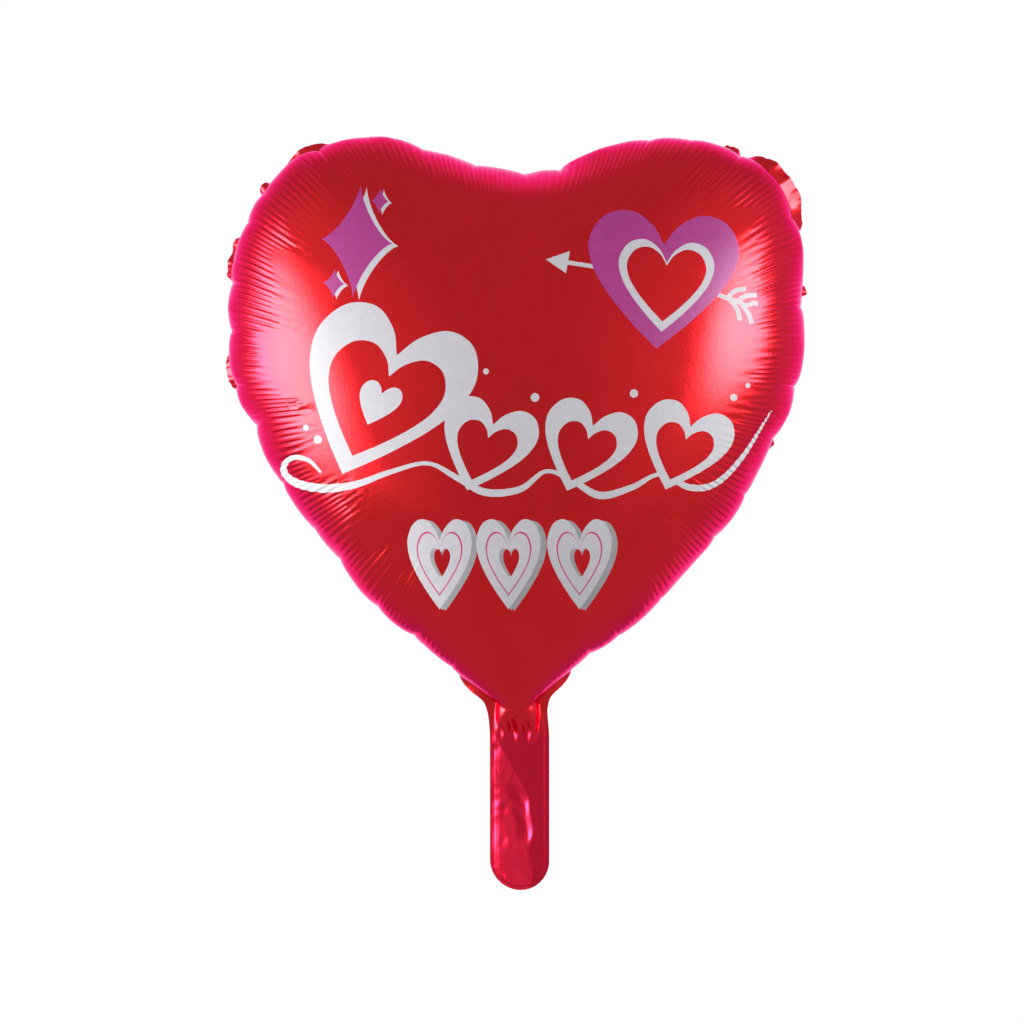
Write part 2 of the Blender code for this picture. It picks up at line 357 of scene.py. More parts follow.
def heart_normal(theta, w, sheet):
    """Unit normal by central differences along and across the seam."""
    e, f = 0.0006, 0.0004
    w = np.maximum(w, f * 1.01)
    a = heart_point(theta + e, w, sheet) - heart_point(theta - e, w, sheet)
    b = heart_point(theta, w - f, sheet) - heart_point(theta, w + f, sheet)
    n = np.cross(a, b) * sheet.side
    length = np.linalg.norm(n, axis=1)
    return n / np.maximum(length, 1e-12)[:, None]


def to_flat(theta, w):
    rho = ray_length(theta) - w
    return np.stack([rho * np.cos(theta), rho * np.sin(theta)], 1)


def from_flat(q):
    theta = np.arctan2(q[:, 1], q[:, 0])
    return theta, np.maximum(ray_length(theta) - np.linalg.norm(q, axis=1), 0.0)


def plan_to_flat(p):
    """Plan point (x, z) to the sheet's flat layout."""
    v = p - CENTRE
    theta = np.arctan2(v[:, 1], v[:, 0])
    s = np.linalg.norm(v, axis=1) / np.interp(wrap(theta), ANG, RAD)
    f = (wrap(theta) - TH[0]) / (TH[1] - TH[0])
    i = np.clip(np.floor(f).astype(int), 0, len(TH) - 2)
    f = f - i
    par = (1 - np.clip(s, 0, 1)) ** (1 / 2.2) * 160
    a = np.clip(np.floor(par).astype(int), 0, 159)
    g = par - a
    w = 0
    for j, part in ((i, 1 - f), (i + 1, f)):
        w = w + part * (WT[j, a] * (1 - g) + WT[j, a + 1] * g)
    return to_flat(theta, w)


# ---------------------------------------------------------------- tail
CREASE_A, CREASE_D = np.array([-0.0175, -0.0150]), np.array([-0.876, -0.482])
_rng = np.random.default_rng(417)
CRUMPLE = [   # short random creases: place, direction, slope, reach
    (_rng.uniform(-0.019, 0.012), _rng.uniform(-0.122, -0.022), _rng.uniform(0, math.pi), _rng.uniform(0.05, 0.15) * _rng.choice([-1, 1]), _rng.uniform(0.0022, 0.0062))
    for _ in range(90)
]


def soft(d, r):
    """max(d, 0) with its corner rounded over r."""
    return 0.5 * (d + np.sqrt(d * d + r * r)) - 0.5 * r * np.exp(-np.abs(d) / (4 * r))


def tail_middle(x, z):
    """How far the flat tail is bent out of its plane, in y."""
    d1 = (x - CREASE_A[0]) * CREASE_D[0] + (z - CREASE_A[1]) * CREASE_D[1]
    d2 = 0.0094 - x + 0.0012 * np.sin(z * 210)
    d = -np.logaddexp(-d1 * 900, -d2 * 900) / 900
    below = smooth01((-0.010 - z) / 0.012)
    fold = 0.32 * soft(d, 0.0010)
    # a steeper facet beside the crease, half way down
    facet = smooth01((-z - 0.046) / 0.014) * smooth01((z + 0.096) / 0.014)
    fold += 0.0012 * facet * smooth01(d / (0.0042 + 0.0010 * np.sin(z * 300))) * (1 - smooth01((d - 0.0050) / 0.0075))
    rough = np.zeros_like(x)
    for px, pz, a, slope, reach in CRUMPLE:
        dx, dz = x - px, z - pz
        across = dx * math.cos(a) + dz * math.sin(a)
        rough += slope * (np.sqrt(across**2 + 0.0003**2) - reach * 0.4) * np.exp(-(dx**2 + dz**2) / reach**2)
    rough *= smooth01(d / 0.003) * smooth01((z - TAIL_END) / 0.016) * (0.8 - 0.6 * facet * (1 - smooth01((d - 0.004) / 0.004)))
    bow = -0.0016 * np.sin(np.clip((-z - 0.01) / 0.11, 0, 1) * math.pi)
    return (fold + rough + bow) * below


def tail_grid(top, side):
    """Rows of points from the neck's rim down to the tail's round end; top is the rim's plan points."""
    m = len(top)
    u = np.linspace(-1, 1, m)
    zc = TAIL_END + TAIL_HALF + TAIL_MARGIN
    rows = []
    v = np.linspace(0, 1, 116) ** 0.92
    xb = TAIL_HALF * np.sin(u * math.pi / 2)
    zb = zc - TAIL_HALF * np.cos(u * math.pi / 2)
    for t in v[1:]:
        z = top[:, 1] * (1 - t) + zb * t
        to_side = smooth01((top[:, 1] - z) / 0.010)
        to_end = smooth01((t - 0.80) / 0.20)
        x = top[:, 0] * (1 - to_side) + TAIL_HALF * u * to_side
        x = x * (1 - to_end) + xb * to_end + 0.0014 * smooth01(-z / 0.020)
        rows.append(np.stack([x, z], 1))
    return np.array(rows)


def tail_point(x, z, side):
    u = (x - 0.0014 * smooth01(-z / 0.020)) / TAIL_HALF
    pillow = np.sqrt(np.clip(1 - u**2, 0, 1)) * smooth01((z - TAIL_END - TAIL_MARGIN) / 0.006)
    # the heart's rim starts in the middle plane, and the pillow grows just below it
    depth = (0.00012 + 0.00080 * pillow) * smooth01((0.004 - z) / 0.010)
    y = tail_middle(x, z) + side * with_neck(depth, x, z, side)
    return np.stack([x, y, z], -1)


# ---------------------------------------------------------------- columns round the seam
RUN_R = SEAM_RUN[int(np.argmin(np.linalg.norm(SEAM - np.array([0.0140, 0.0028]), axis=1)))]
RUN_L = SEAM_RUN[int(np.argmin(np.linalg.norm(SEAM - np.array([-0.0140, 0.0028]), axis=1)))]
if RUN_R > SEAM_LEN / 2:
    RUN_R -= SEAM_LEN
HEART_COLS = COLUMNS
NECK_COLS = max(8, int(round((SEAM_LEN - RUN_L + RUN_R) / 0.00055)))
COL_RUN = np.concatenate([
    np.linspace(RUN_R, RUN_L, HEART_COLS + 1)[:-1],
    np.linspace(RUN_L, RUN_R + SEAM_LEN, NECK_COLS + 1)[:-1],
])
COL_TH = np.interp(COL_RUN, RUN3, ANG)
NCOL = len(COL_RUN)
BAND = np.array([0, 0.0005, 0.0013, 0.0024, 0.0038, 0.0054, 0.0072, 0.0092, 0.0114, 0.0138])

EARS = [  # drawing position, half length along the seam, angle behind the seam plane, extra width
    (306, 155, 0.014, 24, -0.0012), (262, 186, 0.004, 30, -0.0010), (236, 258, 0.013, 40, 0.0006),
    (228, 372, 0.011, 35, 0.0002), (783, 186, 0.026, 22, 0.0050), (806, 290, 0.004, 48, 0.0),
    (772, 446, 0.004, 52, 0.0), (372, 137, 0.003, 58, -0.002), (732, 150, 0.006, 52, 0.0),
]
TILT_NOISE = ring_noise(81, (0.09, 0.034), (4.0, 5.0))
RUFFLE = ring_noise(82, (0.030, 0.013, 0.0045), (0.0007, 0.00035, 0.00015))


def margin_chain():
    """Run, outward normal, tilt and width of the sealed margin at each column round the heart."""
    run = np.concatenate([COL_RUN[:HEART_COLS], [RUN_L]])
    n2 = np.stack([np.interp(np.interp(run, RUN3, ANG), ANG, NX3), np.interp(np.interp(run, RUN3, ANG), ANG, NZ3)], 1)
    tilt = 88.0 - 0.35 * np.abs(TILT_NOISE(run))
    wide = np.full(len(run), MARGIN)
    for a, b, half, angle, extra in EARS:
        d = np.abs((run - seam_run_at(a, b) + SEAM_LEN / 2) % SEAM_LEN - SEAM_LEN / 2)
        k = smooth01(1.25 - d / half * 0.75)
        tilt = tilt * (1 - k) + angle * k
        wide = wide + extra * k
    end = np.minimum(run - RUN_R, RUN_L - run)
    k = smooth01(1 - (end - 0.002) / 0.040)
    tilt = tilt * (1 - k)
    k = smooth01(1 - end / 0.030)
    wide = wide * (1 - k) + 0.0036 * k
    return run, n2, np.radians(np.clip(tilt, 0, 90)), wide


# ---------------------------------------------------------------- print on the front sheet
EYE = np.array([-0.0036, 0.127])
EYE_FAR = 2.2


def drawn(a, b):
    """Plan point of the film that is seen at a drawing position, from the eye straight in front."""
    seen = at(a, b)
    p = seen
    for _ in range(4):
        h = np.sqrt(K2 * membrane(p)[0])
        p = EYE + (seen - EYE) * (1 - h / EYE_FAR)[:, None]
    return p


def curve_through(points, per=14, closed=False):
    p = np.array(points, float)
    n = len(p)
    if closed:
        q = np.vstack([p[-1:], p, p[:2]])
    else:
        q = np.vstack([2 * p[0] - p[1], p, 2 * p[-1] - p[-2]])
    t = np.linspace(0, 1, per, endpoint=False)[:, None]
    out = []
    for i in range(1, len(q) - 2):
        a, b, c, d = q[i - 1 : i + 3]
        out.append(0.5 * (2 * b + (c - a) * t + (2 * a - 5 * b + 4 * c - d) * t**2 + (3 * b - a - 3 * c + d) * t**3))
    out = np.vstack(out)
    return out if closed else np.vstack([out, p[-1:]])


def stroke(points, widths, per=12):
    """Outline of a pen stroke along a smooth line; widths are full widths at the points."""
    w = np.array(widths, float)
    c = curve_through(np.column_stack([np.array(points, float), w]), per)
    line, half = c[:, :2], np.maximum(c[:, 2], 0.3) / 2
    t = np.gradient(line, axis=0)
    t /= np.linalg.norm(t, axis=1)[:, None]
    n = np.stack([-t[:, 1], t[:, 0]], 1)
    return np.vstack([line + n * half[:, None], (line - n * half[:, None])[::-1]])


def heart_outline(cx, cy, w, h, turn=0.0, lean=0.0):
    """A round-lobed heart, tip down, w wide and h high, about (cx, cy)."""
    half = curve_through([(0, -0.265), (0.085, -0.405), (0.235, -0.50), (0.405, -0.455), (0.50, -0.285), (0.475, -0.095), (0.365, 0.10), (0.185, 0.315), (0, 0.5)], 7)
    p = np.vstack([half, (half * (-1, 1))[::-1][1:-1]]) * (w, h)
    p[:, 0] -= lean * p[:, 1]
    c, s = math.cos(math.radians(turn)), math.sin(math.radians(turn))
    return p @ np.array([[c, s], [-s, c]]) + (cx, cy)


def ring(cx, cy, r, count=28):
    t = np.linspace(0, 2 * math.pi, count, endpoint=False)
    return np.stack([cx + r * np.cos(t), cy + r * np.sin(t)], 1)


FOIL, WHITE, PURPLE, SHADE, PINK = range(5)
PRINT = []


def ink(slot, outline):
    PRINT.append((slot, np.array(outline, float)))


# A tall purple sparkle with a white shadow.
def sparkle(cx, cy, w, h, turn, power=2.75):
    t = np.linspace(0, 2 * math.pi, 96, endpoint=False)
    p = np.stack([np.sign(np.cos(t)) * np.abs(np.cos(t)) ** power * w / 2, np.sign(np.sin(t)) * np.abs(np.sin(t)) ** power * h / 2], 1)
    c, s = math.cos(math.radians(turn)), math.sin(math.radians(turn))
    return p @ np.array([[c, s], [-s, c]]) + (cx, cy)


for x, y, w, h in ((357, 242, 72, 114), (334, 284, 22, 30), (380, 202, 18, 26)):
    k = 0.4 + 0.6 * w / 72
    ink(WHITE, sparkle(x + 6 * k, y + 2.5 * k, w, h, 4))
    ink(PURPLE, sparkle(x, y, w, h, 4))

# A purple heart with a white heart line in it, and an arrow behind it.
HEART_TURN = 4.4
ink(WHITE, [(546, 260), (570, 251.5), (566, 274)])
ink(WHITE, stroke([(562, 262.3), (582, 265.2), (604, 268.8)], [4.2, 4.2, 4.2], 6))
ink(WHITE, stroke([(712, 292), (724, 297.5), (737, 302), (748, 306.5)], [4.2, 4.4, 4.4, 3.4], 6))
for p in (((727, 298.5), (736, 291), (746, 289.5)), ((737, 302), (746, 296.5), (757, 295.5)), ((729, 299), (737, 309), (740, 321)), ((740, 303), (748, 313), (752, 324)), ((748, 306), (754, 303.6), (758, 304.5))):
    ink(WHITE, stroke(p, [4.2, 4.4, 4.6], 5))
ink(PURPLE, heart_outline(661.5, 281.5, 150, 136, HEART_TURN))
ink(WHITE, heart_outline(665.0, 287.0, 95, 91, HEART_TURN))
ink(FOIL, heart_outline(665.3, 285.5, 79, 73.5, HEART_TURN))

# A garland of pen-drawn hearts, thick on the down stroke, strung on a hairline that curls at its start.
ink(WHITE, stroke(
    [(321, 473), (309, 461), (294, 458), (285, 465), (287, 476), (301, 485), (326, 489), (356, 485), (392, 472), (428, 464), (458, 479), (486, 493), (520, 490),
     (546, 472), (572, 481), (600, 496), (632, 488), (660, 475), (690, 488), (716, 484), (742, 458), (771, 411)],
    [2.5, 4, 5, 5.5, 6.5, 8, 8.5, 7, 5, 4, 6, 7.5, 6.5, 4, 5.5, 7.5, 6, 4, 6.5, 6, 4.5, 1.0], 10))
ink(WHITE, heart_outline(378, 397, 166, 170, 19, 0.10))
ink(FOIL, heart_outline(376.5, 404.5, 116, 114, 19, 0.10))
ink(WHITE, heart_outline(377, 405, 42, 44, 19, 0.10))
for x, y, w, h in ((484, 448, 94, 92), (584, 449, 92, 91), (682, 449, 90, 88)):
    ink(WHITE, heart_outline(x, y, w, h, 17, 0.08))
    ink(FOIL, heart_outline(x - 1.5, y + 5.0, w * 0.64, h * 0.64, 17, 0.08))
# seeds above the garland
for x, y, r in ((470, 382, 4.0), (486, 372, 3.0), (535, 398, 4.4), (634, 394, 4.2), (734, 398, 3.6), (748, 386, 2.6), (318, 440, 4.2), (306, 428, 3.0)):
    ink(WHITE, ring(x, y, r, 18))

# Three small hearts in a row, shaded down their right side and lined.
for cx in (441, 510, 581):
    ink(SHADE, heart_outline(cx + 4.5, 566.5, 64, 90))
    ink(SHADE, heart_outline(cx + 1.5, 566, 64, 90))
    ink(WHITE, heart_outline(cx - 1.5, 565, 64, 90))
    ink(PINK, heart_outline(cx - 1.5, 564.5, 45.5, 64))
    ink(WHITE, heart_outline(cx - 1.5, 564.3, 42.8, 60.5))
    ink(SHADE, heart_outline(cx - 1.0, 563.5, 20, 29))
    ink(FOIL, heart_outline(cx + 1.2, 563.5, 16, 27.5))


def winding(points, poly):
    """Winding number of a closed outline about each point."""
    out = np.zeros(len(points), int)
    lo, hi = poly.min(0), poly.max(0)
    inside = np.all((points >= lo) & (points <= hi), 1)
    idx = np.where(inside)[0]
    if not len(idx):
        return out
    p = points[idx]
    w = np.zeros(len(p), int)
    q = np.roll(poly, -1, 0)
    for (x0, y0), (x1, y1) in zip(poly, q):
        left = (x1 - x0) * (p[:, 1] - y0) - (p[:, 0] - x0) * (y1 - y0)
        w += ((y0 <= p[:, 1]) & (y1 > p[:, 1]) & (left > 0)).astype(int)
        w -= ((y0 > p[:, 1]) & (y1 <= p[:, 1]) & (left < 0)).astype(int)
    out[idx] = w
    return out


# ---------------------------------------------------------------- meshes
def sheet_mesh(name, sheet, prints):
    side = sheet.side
    # outer band: a regular grid from the seam inwards
    th_b = np.tile(COL_TH, len(BAND))
    w_b = np.repeat(BAND, NCOL)
    # inside it: rings of points, then an even spread, and the print's outlines, joined by one triangulation
    ring_flat = to_flat(COL_TH, np.full(NCOL, BAND[-1]))
    pts = [ring_flat]
    w = BAND[-1] + 0.0026
    while w < 0.064:
        pts.append(to_flat(COL_TH, np.full(NCOL, w)))
        w += 0.0026
    while w < 0.072:
        pts.append(to_flat(COL_TH[::2], np.full(len(COL_TH[::2]), w)))
        w += 0.0026
    while w < 0.080:
        pts.append(to_flat(COL_TH[::4], np.full(len(COL_TH[::4]), w)))
        w += 0.0028
    cell = 0.0032
    gx, gz = np.arange(-0.24, 0.24, cell), np.arange(-0.27, 0.24, cell * 0.866)
    grid = np.array([(x + (cell / 2 if k % 2 else 0), z) for k, z in enumerate(gz) for x in gx])
    th, wg = from_flat(grid)
    pts.append(grid[wg > w + 0.0004])
    # keep rings from crowding where the neck is narrow
    inner = np.vstack(pts[1:])
    th, wi = from_flat(inner)
    thin = (np.abs(np.cos(th)) < 0.12) & (np.sin(th) < 0) & (wi < 0.05)
    keep = ~thin | (np.arange(len(inner)) % 3 == 0)
    verts2 = [ring_flat, inner[keep]]
    count = len(ring_flat) + int(keep.sum())
    edges = [(i, (i + 1) % NCOL) for i in range(NCOL)]
    shapes = []
    if prints:
        for slot_, poly in prints:
            q = []
            for a, b in zip(poly, np.roll(poly, -1, 0)):
                k = max(1, int(math.ceil(np.linalg.norm(b - a) / 2.4)))
                q += [a + (b - a) * t for t in np.arange(k) / k]
            f = plan_to_flat(drawn(*np.array(q).T))
            shapes.append((slot_, f))
            verts2.append(f)
            edges += [(count + i, count + (i + 1) % len(f)) for i in range(len(f))]
            count += len(f)
    flat = np.vstack(verts2)
    got = delaunay_2d_cdt([Vector(p) for p in flat.tolist()], edges, [list(range(NCOL))], 1, 2e-6)
    q = np.array([(v[0], v[1]) for v in got[0]])
    origin = {}
    for i, src in enumerate(got[3]):
        for k in src:
            if k < NCOL:
                origin[i] = k
    tris = np.array([f for f in got[2] if len(f) == 3])
    # number the triangulation's own points after the band's
    base = len(th_b)
    ring0 = (len(BAND) - 1) * NCOL
    idmap = np.empty(len(q), int)
    fresh = [i for i in range(len(q)) if i not in origin]
    for i, k in origin.items():
        idmap[i] = ring0 + k
    idmap[fresh] = base + np.arange(len(fresh))
    th_i, w_i = from_flat(q[fresh])
    v = q[tris]
    area = np.cross(v[:, 1] - v[:, 0], v[:, 2] - v[:, 0])
    tris[area < 0] = tris[area < 0][:, ::-1]
    tris = tris[np.abs(area) > 1e-12]
    centre = q[tris].mean(1)
    slots = np.zeros(len(tris), int)
    for slot_, poly in shapes:
        slots[winding(centre, poly) != 0] = slot_
    tris = idmap[tris]

    theta = np.concatenate([th_b, th_i])
    dist = np.concatenate([w_b, w_i])
    co = heart_point(theta, dist, sheet)
    no = heart_normal(theta, dist, sheet)
    band_quads = []
    for j in range(len(BAND) - 1):
        a = j * NCOL + np.arange(NCOL)
        b = j * NCOL + (np.arange(NCOL) + 1) % NCOL
        band_quads.append(np.stack([a, b, b + NCOL, a + NCOL], 1))
    band_quads = np.vstack(band_quads)

    # tail, from the neck's columns down
    neck = np.concatenate([np.arange(HEART_COLS, NCOL), [0]])
    top = co[neck][:, [0, 2]]
    grid = tail_grid(top, side)
    rows, m = grid.shape[:2]
    tail_co = tail_point(grid[..., 0].ravel(), grid[..., 1].ravel(), side)
    # the first rows take up the difference from the rim
    gap = co[neck][:, 1] - tail_point(top[:, 0], top[:, 1], side)[:, 1]
    fade = np.exp(-((top[None, :, 1] - grid[..., 1]) / 0.0022) ** 2)
    tail_co[:, 1] += (fade * gap[None]).ravel()
    t0 = len(co)
    co = np.vstack([co, tail_co])
    ids = np.vstack([neck, t0 + np.arange(rows * m).reshape(rows, m)])
    tail_quads = np.stack([ids[:-1, :-1], ids[1:, :-1], ids[1:, 1:], ids[:-1, 1:]], -1).reshape(-1, 4)

    # sealed margin, round heart and tail
    run, n2, tilt, wide = margin_chain()
    chain = np.concatenate([np.arange(HEART_COLS), [HEART_COLS], ids[1:, 0], ids[-1, 1:-1], ids[1:, -1][::-1]])
    base3 = co[chain].copy()
    k = len(run)
    plan = base3[:, [0, 2]]
    n_tail = outward(plan)
    normal = np.vstack([n2, n_tail[k:]])
    tilt = np.concatenate([tilt, np.zeros(len(chain) - k)])
    wide = np.concatenate([wide, np.full(len(chain) - k, TAIL_MARGIN)])
    run_all = np.concatenate([run, RUN_L + np.arange(1, len(chain) - k + 1) * 0.0009])
    for _ in range(30):
        soft_n = (np.roll(normal, 1, 0) + normal * 2 + np.roll(normal, -1, 0)) / 4
        mix = np.zeros(len(chain))
        mix[k - 10 : k + 14] = 1
        mix[:10] = 1
        mix[-14:] = 1
        normal = normal * (1 - mix[:, None]) + soft_n * mix[:, None]
        wide = wide * (1 - mix) + (np.roll(wide, 1) + wide * 2 + np.roll(wide, -1)) / 4 * mix
    normal /= np.linalg.norm(normal, axis=1)[:, None]
    live = smooth01(np.sin(tilt) * 1.6 + 0.15)
    live[k:] = 0
    live[:k] *= smooth01((np.minimum(run - RUN_R, RUN_L - run) - 0.030) / 0.030)
    # folded right back it lies on the back sheet
    flat = smooth01((np.degrees(tilt) - 58) / 24)
    flat[k:] = 0
    ruffle = RUFFLE(run_all) * live
    prev = chain
    margin_quads = []
    lift = side * 0.00012
    for j, f in enumerate((0.08, 0.3, 0.55, 0.8, 1.0)):
        c, s = np.cos(tilt), np.sin(tilt)
        off = normal[:, 0] * c * wide * f, s * wide * f, normal[:, 1] * c * wide * f
        p = base3 + np.stack(off, 1)
        if j:
            p[:, 1] = base3[:, 1] * 0 + co[chain][:, 1] * (1 - smooth01(f * 3)) + (SEAM_WAVE(run_all) * live) * smooth01(f * 3) + off[1]
            tailp = np.arange(len(chain)) >= k
            p[tailp, 1] = tail_middle(p[tailp, 0], p[tailp, 2])
        turn = np.stack([-normal[:, 0] * s, c, -normal[:, 1] * s], 1)
        p += turn * (ruffle * f**1.3 + lift)[:, None]
        laid = heart_point(COL_TH[chain[:k]], wide[:k] * f, BACK)
        off_film = (0.00026 - side * 0.00010) * smooth01(f * 3)
        laid += heart_normal(COL_TH[chain[:k]], wide[:k] * f, BACK) * off_film
        p[:k] = p[:k] * (1 - flat[:k, None]) + laid * flat[:k, None]
        new = len(co) + np.arange(len(chain))
        co = np.vstack([co, p])
        nxt = (np.arange(len(chain)) + 1) % len(chain)
        margin_quads.append(np.stack([new, new[nxt], prev[nxt], prev], 1))
        prev = new
    # ease the outer rows round the corner between heart and tail
    outer = co[len(co) - 5 * len(chain) :].reshape(5, len(chain), 3)
    for j in range(1, 5):
        line = outer[j].copy()
        for _ in range(260 if j > 1 else 120):
            line = (np.roll(line, 1, 0) + 2 * line + np.roll(line, -1, 0)) / 4
        idx = np.arange(len(chain))
        mix = np.zeros(len(chain))
        for c in (0, k, len(chain)):
            mix = np.maximum(mix, np.exp(-(((idx - c) / 16.0) ** 2)))
        outer[j] = outer[j] * (1 - mix[:, None]) + line * mix[:, None]
    co[len(co) - 5 * len(chain) :] = outer.reshape(-1, 3)
    margin_quads = np.vstack(margin_quads)

    # normals of tail and margin from their own faces
    def region_normals(quads):
        a = co[quads]
        fn = np.cross(a[:, 2] - a[:, 0], a[:, 3] - a[:, 1])
        out = np.zeros((len(co), 3))
        for c in range(4):
            np.add.at(out, quads[:, c], fn)
        length = np.linalg.norm(out, axis=1)
        return out / np.maximum(length, 1e-15)[:, None] * (1 if side < 0 else -1)

    n_t, n_m = region_normals(tail_quads), region_normals(margin_quads)
    # the heart's band and triangles take its computed normals
    full = np.zeros((len(co), 3))
    full[: len(no)] = no
    polys = [band_quads, tris, tail_quads, margin_quads]
    norms = []
    for quads, field in ((band_quads, full), (tris, full), (tail_quads, n_t), (margin_quads, n_m)):
        f = quads if side < 0 else quads[:, ::-1]
        norms.append(field[f].reshape(-1, 3))
    faces = []
    for quads in polys:
        faces += (quads if side < 0 else quads[:, ::-1]).tolist()
    mesh = bpy.data.meshes.new(name)
    mesh.from_pydata(co.tolist(), [], faces)
    mat = np.zeros(len(faces), np.int32)
    mat[len(band_quads) : len(band_quads) + len(tris)] = slots
    mesh.polygons.foreach_set("material_index", mat)
    # painted reflection tint: the base colour is pushed towards crimson down the tail and towards the heart's sides
    # near the seam, standing in for the magenta hue of the reflections there
    painted_reflection_tint = smooth01((-co[:, 2] - 0.004) / 0.022)
    painted_tint_sides = np.zeros(len(co))
    painted_tint_sides[: len(theta)] = smooth01((np.abs(co[: len(theta), 0]) - 0.095) / 0.06) * (1 - smooth01((dist - 0.030) / 0.050))
    painted_reflection_tint = np.maximum(painted_reflection_tint, 0.45 * painted_tint_sides).astype(np.float32)
    mesh.attributes.new("painted_reflection_tint", "FLOAT", "POINT").data.foreach_set("value", painted_reflection_tint)
    mesh.shade_smooth()
    mesh.update()
    mesh.normals_split_custom_set(np.vstack(norms).tolist())
    o = bpy.data.objects.new(name, mesh)
    bpy.context.scene.collection.objects.link(o)
    return o


# ---------------------------------------------------------------- materials
def node_material(name):
    m = bpy.data.materials.new(name)
    m.use_nodes = True
    nt = m.node_tree
    b = nt.nodes["Principled BSDF"]
    return m, nt, b


def noise(nt, scale, detail=3.0, rough=0.5, stretch=None):
    tc = nt.nodes.new("ShaderNodeTexCoord")
    mp = nt.nodes.new("ShaderNodeMapping")
    if stretch:
        mp.inputs["Scale"].default_value = stretch
    n = nt.nodes.new("ShaderNodeTexNoise")
    n.inputs["Scale"].default_value = scale
    n.inputs["Detail"].default_value = detail
    n.inputs["Roughness"].default_value = rough
    nt.links.new(tc.outputs["Object"], mp.inputs["Vector"])
    nt.links.new(mp.outputs["Vector"], n.inputs["Vector"])
    return n.outputs["Fac"]


def spread(nt, value, lo, hi, a=0.3, b=0.7):
    r = nt.nodes.new("ShaderNodeMapRange")
    r.inputs["From Min"].default_value = a
    r.inputs["From Max"].default_value = b
    r.inputs["To Min"].default_value = lo
    r.inputs["To Max"].default_value = hi
    nt.links.new(value, r.inputs["Value"])
    return r.outputs["Result"]


def tint(nt, value, c0, c1, a=0.3, b=0.7):
    r = nt.nodes.new("ShaderNodeValToRGB")
    r.color_ramp.elements[0].position, r.color_ramp.elements[0].color = a, (*c0, 1)
    r.color_ramp.elements[1].position, r.color_ramp.elements[1].color = b, (*c1, 1)
    nt.links.new(value, r.inputs["Fac"])
    return r.outputs["Color"]


def bump(nt, bsdf, value, strength, distance):
    b = nt.nodes.new("ShaderNodeBump")
    b.inputs["Strength"].default_value = strength
    b.inputs["Distance"].default_value = distance
    nt.links.new(value, b.inputs["Height"])
    nt.links.new(b.outputs["Normal"], bsdf.inputs["Normal"])
    return b


def foil(name, c0, c1, edge, rough=(0.125, 0.165), coat=0.04):
    m, nt, b = node_material(name)
    b.inputs["Metallic"].default_value = 1.0
    b.inputs["Specular Tint"].default_value = (*edge, 1)
    b.inputs["Coat Weight"].default_value = coat
    b.inputs["Coat Roughness"].default_value = 0.14
    b.inputs["Coat IOR"].default_value = 1.5
    # painted reflection tint: the attribute mixes the base colour towards a crimson that stands in for the magenta
    # hue of reflections down the tail and by the sides
    painted_reflection_tint = nt.nodes.new("ShaderNodeAttribute")
    painted_reflection_tint.attribute_name = "painted_reflection_tint"
    mix = nt.nodes.new("ShaderNodeMix")
    mix.data_type = "RGBA"
    nt.links.new(painted_reflection_tint.outputs["Fac"], mix.inputs["Factor"])
    nt.links.new(tint(nt, noise(nt, 34, 4), c0, c1), mix.inputs["A"])
    nt.links.new(tint(nt, noise(nt, 110, 3), (0.86, 0.0150, 0.052), (0.90, 0.0185, 0.066)), mix.inputs["B"])
    nt.links.new(mix.outputs["Result"], b.inputs["Base Color"])
    nt.links.new(spread(nt, noise(nt, 60, 5, 0.6), *rough), b.inputs["Roughness"])
    bump(nt, b, noise(nt, 420, 3, 0.6), 0.10, 0.0006)
    return m


def printed(name, c0, c1, metallic, rough, scale=260):
    m, nt, b = node_material(name)
    b.inputs["Metallic"].default_value = metallic
    b.inputs["Coat Weight"].default_value = 0.08
    b.inputs["Coat Roughness"].default_value = 0.25
    nt.links.new(tint(nt, noise(nt, scale, 4), c0, c1), b.inputs["Base Color"])
    nt.links.new(spread(nt, noise(nt, 70, 3), *rough), b.inputs["Roughness"])
    bump(nt, b, noise(nt, 520, 2), 0.06, 0.0005)
    return m


M_FRONT = foil("front_foil", (0.88, 0.0235, 0.030), (0.92, 0.0265, 0.035), (1.0, 0.43, 0.95))
M_BACK = foil("back_foil", (0.88, 0.0235, 0.030), (0.92, 0.0265, 0.035), (1.0, 0.43, 0.95))
M_WHITE = printed("white_ink", (0.395, 0.385, 0.415), (0.425, 0.413, 0.445), 0.0, (0.48, 0.56))
M_PURPLE = printed("purple_ink", (0.285, 0.022, 0.165), (0.315, 0.027, 0.185), 0.10, (0.34, 0.42))
M_SHADE = printed("shade_ink", (0.22, 0.215, 0.23), (0.27, 0.26, 0.275), 0.0, (0.42, 0.52))
M_PINK = printed("line_ink", (0.45, 0.010, 0.12), (0.52, 0.014, 0.15), 0.2, (0.38, 0.46))


def clear_film(name):
    m, nt, b = node_material(name)
    b.inputs["Transmission Weight"].default_value = 0.55
    b.inputs["IOR"].default_value = 1.45
    nt.links.new(tint(nt, noise(nt, 90, 3), (0.80, 0.80, 0.80), (0.88, 0.88, 0.87)), b.inputs["Base Color"])
    nt.links.new(spread(nt, noise(nt, 150, 3), 0.22, 0.36), b.inputs["Roughness"])
    bump(nt, b, noise(nt, 600, 2), 0.08, 0.0004)
    return m


M_VALVE = clear_film("valve_film")
for node in ("valve_upper_front", "valve_upper_back", "valve_lower_front", "valve_lower_back"):
    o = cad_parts[node]
    o.data.materials.clear()
    o.data.materials.append(M_VALVE)



